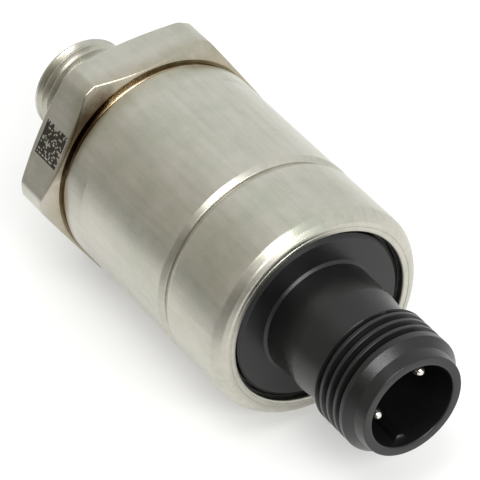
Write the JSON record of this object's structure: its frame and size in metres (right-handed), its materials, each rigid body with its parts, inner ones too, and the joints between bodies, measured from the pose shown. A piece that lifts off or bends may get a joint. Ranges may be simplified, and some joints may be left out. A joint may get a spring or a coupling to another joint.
{
  "type": "pressure transmitter",
  "caption": "Compact stainless pressure transmitter with a hexagon and tapered male process thread at one end and a round threaded electrical plug with contact pins at the other.",
  "frame": {"origin": "On the long axis, in the plane where the threaded stud meets the hexagon.", "axes": "+X runs along the axis out of the electrical plug, +Z is square to one hexagon flat, so the part lies on the opposite flat, and +Y completes the right-handed frame."},
  "size_m": [0.0553, 0.0246, 0.022],
  "materials": {
    "port_steel": "satin turned stainless steel",
    "sleeve_steel": "satin drawn stainless steel",
    "plug_plastic": "satin black moulded plastic",
    "seal_rubber": "black elastomer",
    "pin_metal": "bright plated contact",
    "cell_steel": "ground stainless steel",
    "pad_glass": "fused glass",
    "silicon": "bare silicon chip",
    "ribbon_film": "amber flexible film",
    "carrier_plastic": "natural moulded plastic",
    "liner_plastic": "thin insulating tube",
    "board_laminate": "green circuit board laminate",
    "chip_plastic": "black chip package",
    "capacitor_body": "tan chip capacitor"
  },
  "bodies": {
    "root": {"pressure_port": "port_steel", "rear_sleeve": "sleeve_steel", "front_sleeve": "sleeve_steel", "connector_body": "plug_plastic", "lip_seal": "seal_rubber", "contact_pin_1": "pin_metal", "contact_pin_3": "pin_metal", "contact_pin_4": "pin_metal", "sensor_cell": "cell_steel", "glass_pad": "pad_glass", "gauge_chip": "silicon", "gauge_ribbon": "ribbon_film", "carrier_ring": "carrier_plastic", "insulating_liner": "liner_plastic", "sensor_board": "board_laminate", "main_board": "board_laminate", "terminal_board": "board_laminate", "conditioning_chip": "chip_plastic", "output_chip": "chip_plastic", "board_diode": "chip_plastic", "board_capacitor_1": "capacitor_body", "board_capacitor_2": "capacitor_body", "board_capacitor_3": "capacitor_body"}
  },
  "joints": []
}
